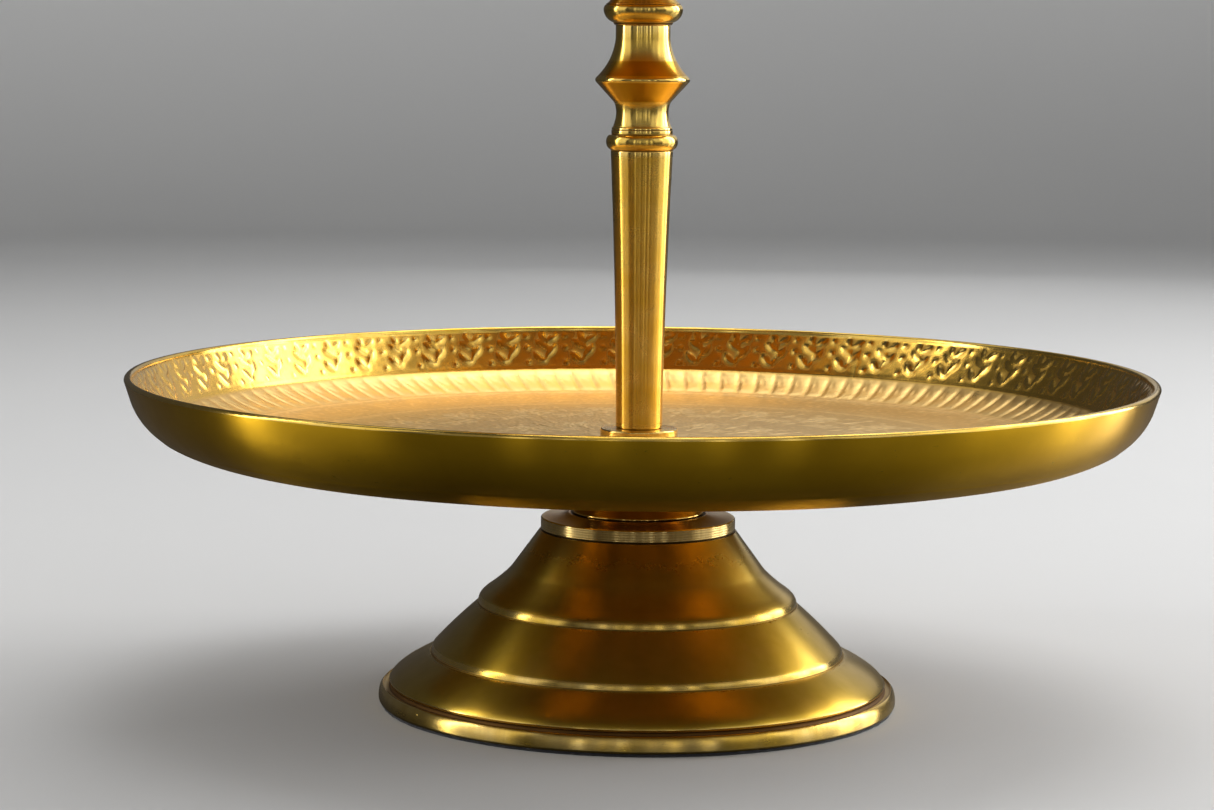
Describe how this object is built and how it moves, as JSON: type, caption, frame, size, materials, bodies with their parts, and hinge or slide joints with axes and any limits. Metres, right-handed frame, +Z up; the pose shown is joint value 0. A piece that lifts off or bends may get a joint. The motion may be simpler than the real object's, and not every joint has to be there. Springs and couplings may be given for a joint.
{
  "type": "tiered cake stand",
  "caption": "Tiered brass cake stand: dished round trays on a turned column and a stepped bell foot, clamped together by a ring handle on a threaded rod.",
  "frame": {"origin": "centre of the felt's underside, on the table", "axes": "+Z up along the column; the ring handle lies in the X-Z plane"},
  "size_m": [0.3046, 0.3046, 0.3358],
  "materials": {
    "brass_satin": "satin turned and brushed brass",
    "brass_polished": "polished brass",
    "brass_tray": "satin brass, embossed on the inside",
    "zinc_steel": "zinc plated",
    "fibre": "vulcanised fibre",
    "felt_black": "pressed felt"
  },
  "bodies": {
    "stand": {"base_felt": "felt_black", "pedestal_foot": "brass_satin", "pedestal_collar": "brass_polished", "pedestal_neck": "brass_satin", "base_washer": "zinc_steel", "base_spring_washer": "zinc_steel", "base_nut": "zinc_steel", "tie_rod": "zinc_steel", "lower_seat_washer": "fibre", "lower_tray": "brass_tray", "lower_clamp_washer": "fibre", "column_flange": "brass_polished", "column_shaft": "brass_satin", "column_ring": "brass_polished", "column_knop": "brass_polished", "column_bead": "brass_polished", "column_neck": "brass_satin", "upper_seat": "brass_satin", "upper_seat_washer": "fibre", "upper_tray": "brass_tray", "upper_clamp_washer": "fibre", "upper_flange": "brass_polished"},
    "handle_washer": {"handle_washer": "brass_polished"},
    "handle": {"handle_stem": "brass_polished", "handle_ring": "brass_polished"}
  },
  "joints": [
    {"name": "handle_rise", "type": "slide", "parent": "stand", "child": "handle_washer", "axis": [0, 0, 1], "range_m": [0, 0.01201]},
    {"name": "handle_turn", "type": "hinge", "parent": "handle_washer", "child": "handle", "pos_m": [0, 0, 0.2548], "axis": [0, 0, 1], "range_deg": [0, 4320]}
  ],
  "couplings": [
    {"joint": "handle_rise", "follows": "handle_turn", "m_per_rad": 0.00015915}
  ]
}
